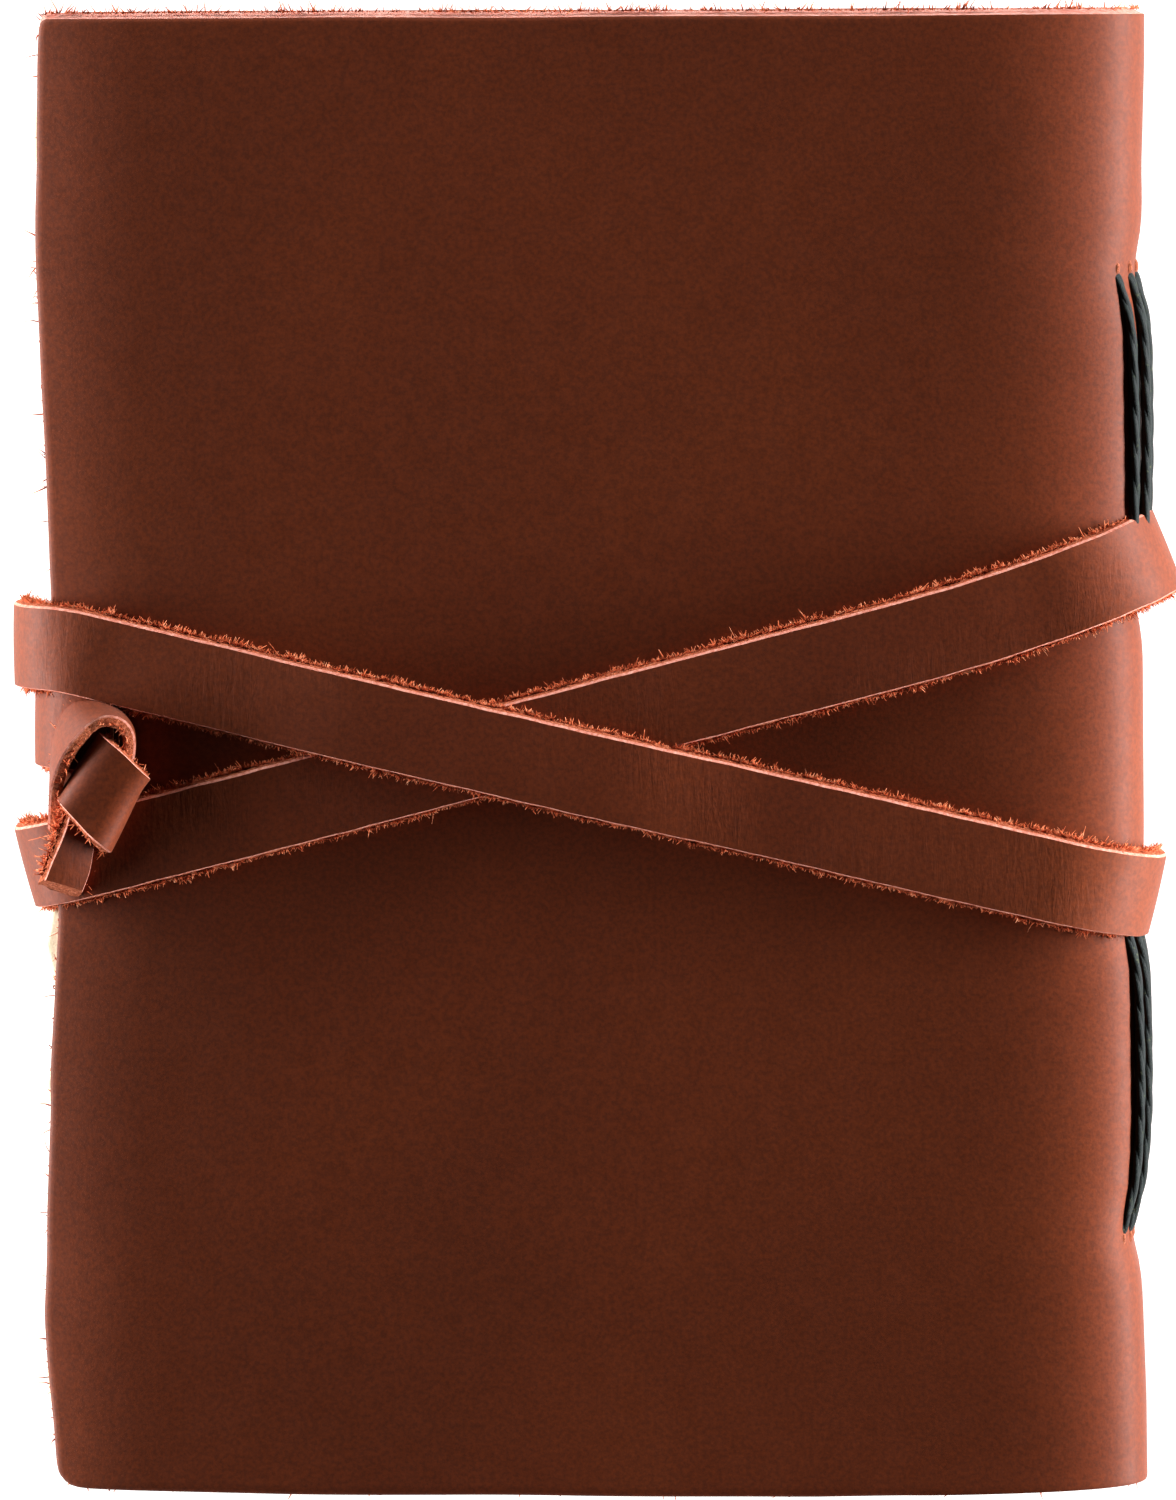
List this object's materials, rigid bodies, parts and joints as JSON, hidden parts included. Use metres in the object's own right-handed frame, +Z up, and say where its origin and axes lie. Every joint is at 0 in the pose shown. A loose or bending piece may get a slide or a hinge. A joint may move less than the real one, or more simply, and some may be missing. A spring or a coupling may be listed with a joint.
{
  "type": "leather notebook cover",
  "caption": "Soft one-piece leather journal cover long-stitched to rag-paper signatures, held shut by a leather strap wrapped round it and knotted at the fore-edge.",
  "frame": {"origin": "on the surface that the strap's back stretches lie on, under the middle of the closed journal's bounding box", "axes": "+X from the fore-edge to the spine, +Y from the tail to the head, +Z up from the back cover to the front cover"},
  "size_m": [0.1594, 0.203, 0.037],
  "materials": {
    "cover_leather": "satin",
    "strap_leather": "satin",
    "rag_paper": "matte",
    "waxed_thread": "satin"
  },
  "bodies": {
    "back_half": {"cover_back_half": "cover_leather", "signature_4_folio_1": "rag_paper", "signature_4_folio_2": "rag_paper", "signature_4_folio_3": "rag_paper", "signature_4_folio_4": "rag_paper", "signature_5_folio_1": "rag_paper", "signature_5_folio_2": "rag_paper", "signature_5_folio_3": "rag_paper", "signature_5_folio_4": "rag_paper", "signature_6_folio_1": "rag_paper", "signature_6_folio_2": "rag_paper", "signature_6_folio_3": "rag_paper", "signature_6_folio_4": "rag_paper", "sewing_thread_4": "waxed_thread", "sewing_thread_5": "waxed_thread", "sewing_thread_6": "waxed_thread"},
    "front_half": {"cover_front_half": "cover_leather", "signature_1_folio_1": "rag_paper", "signature_1_folio_2": "rag_paper", "signature_1_folio_3": "rag_paper", "signature_1_folio_4": "rag_paper", "signature_2_folio_1": "rag_paper", "signature_2_folio_2": "rag_paper", "signature_2_folio_3": "rag_paper", "signature_2_folio_4": "rag_paper", "signature_3_folio_1": "rag_paper", "signature_3_folio_2": "rag_paper", "signature_3_folio_3": "rag_paper", "signature_3_folio_4": "rag_paper", "sewing_thread_1": "waxed_thread", "sewing_thread_2": "waxed_thread", "sewing_thread_3": "waxed_thread"},
    "strap": {"strap_first_end": "strap_leather", "strap_fore_loop_tail": "strap_leather", "strap_front_under": "strap_leather", "strap_spine_loop_head": "strap_leather", "strap_back_head": "strap_leather", "strap_fore_loop_head": "strap_leather", "strap_front_over": "strap_leather", "strap_spine_loop_tail": "strap_leather", "strap_back_tail": "strap_leather", "strap_fore_loop_middle": "strap_leather", "strap_knot": "strap_leather", "strap_last_end": "strap_leather"}
  },
  "joints": [
    {"name": "opening_fold", "type": "hinge", "parent": "back_half", "child": "front_half", "pos_m": [0.07775, 0, 0.01612], "axis": [0, 1, 0], "range_deg": [0, 178]},
    {"name": "strap_slip_off", "type": "slide", "parent": "back_half", "child": "strap", "axis": [0, 1, 0], "range_m": [0, 0.14], "deforming": ["strap_first_end", "strap_fore_loop_tail", "strap_front_under", "strap_spine_loop_head", "strap_back_head", "strap_fore_loop_head", "strap_front_over", "strap_spine_loop_tail", "strap_back_tail", "strap_fore_loop_middle", "strap_knot", "strap_last_end"]}
  ],
  "couplings": [
    {"joint": "strap_slip_off", "follows": "opening_fold", "m_per_rad": 0.045}
  ]
}
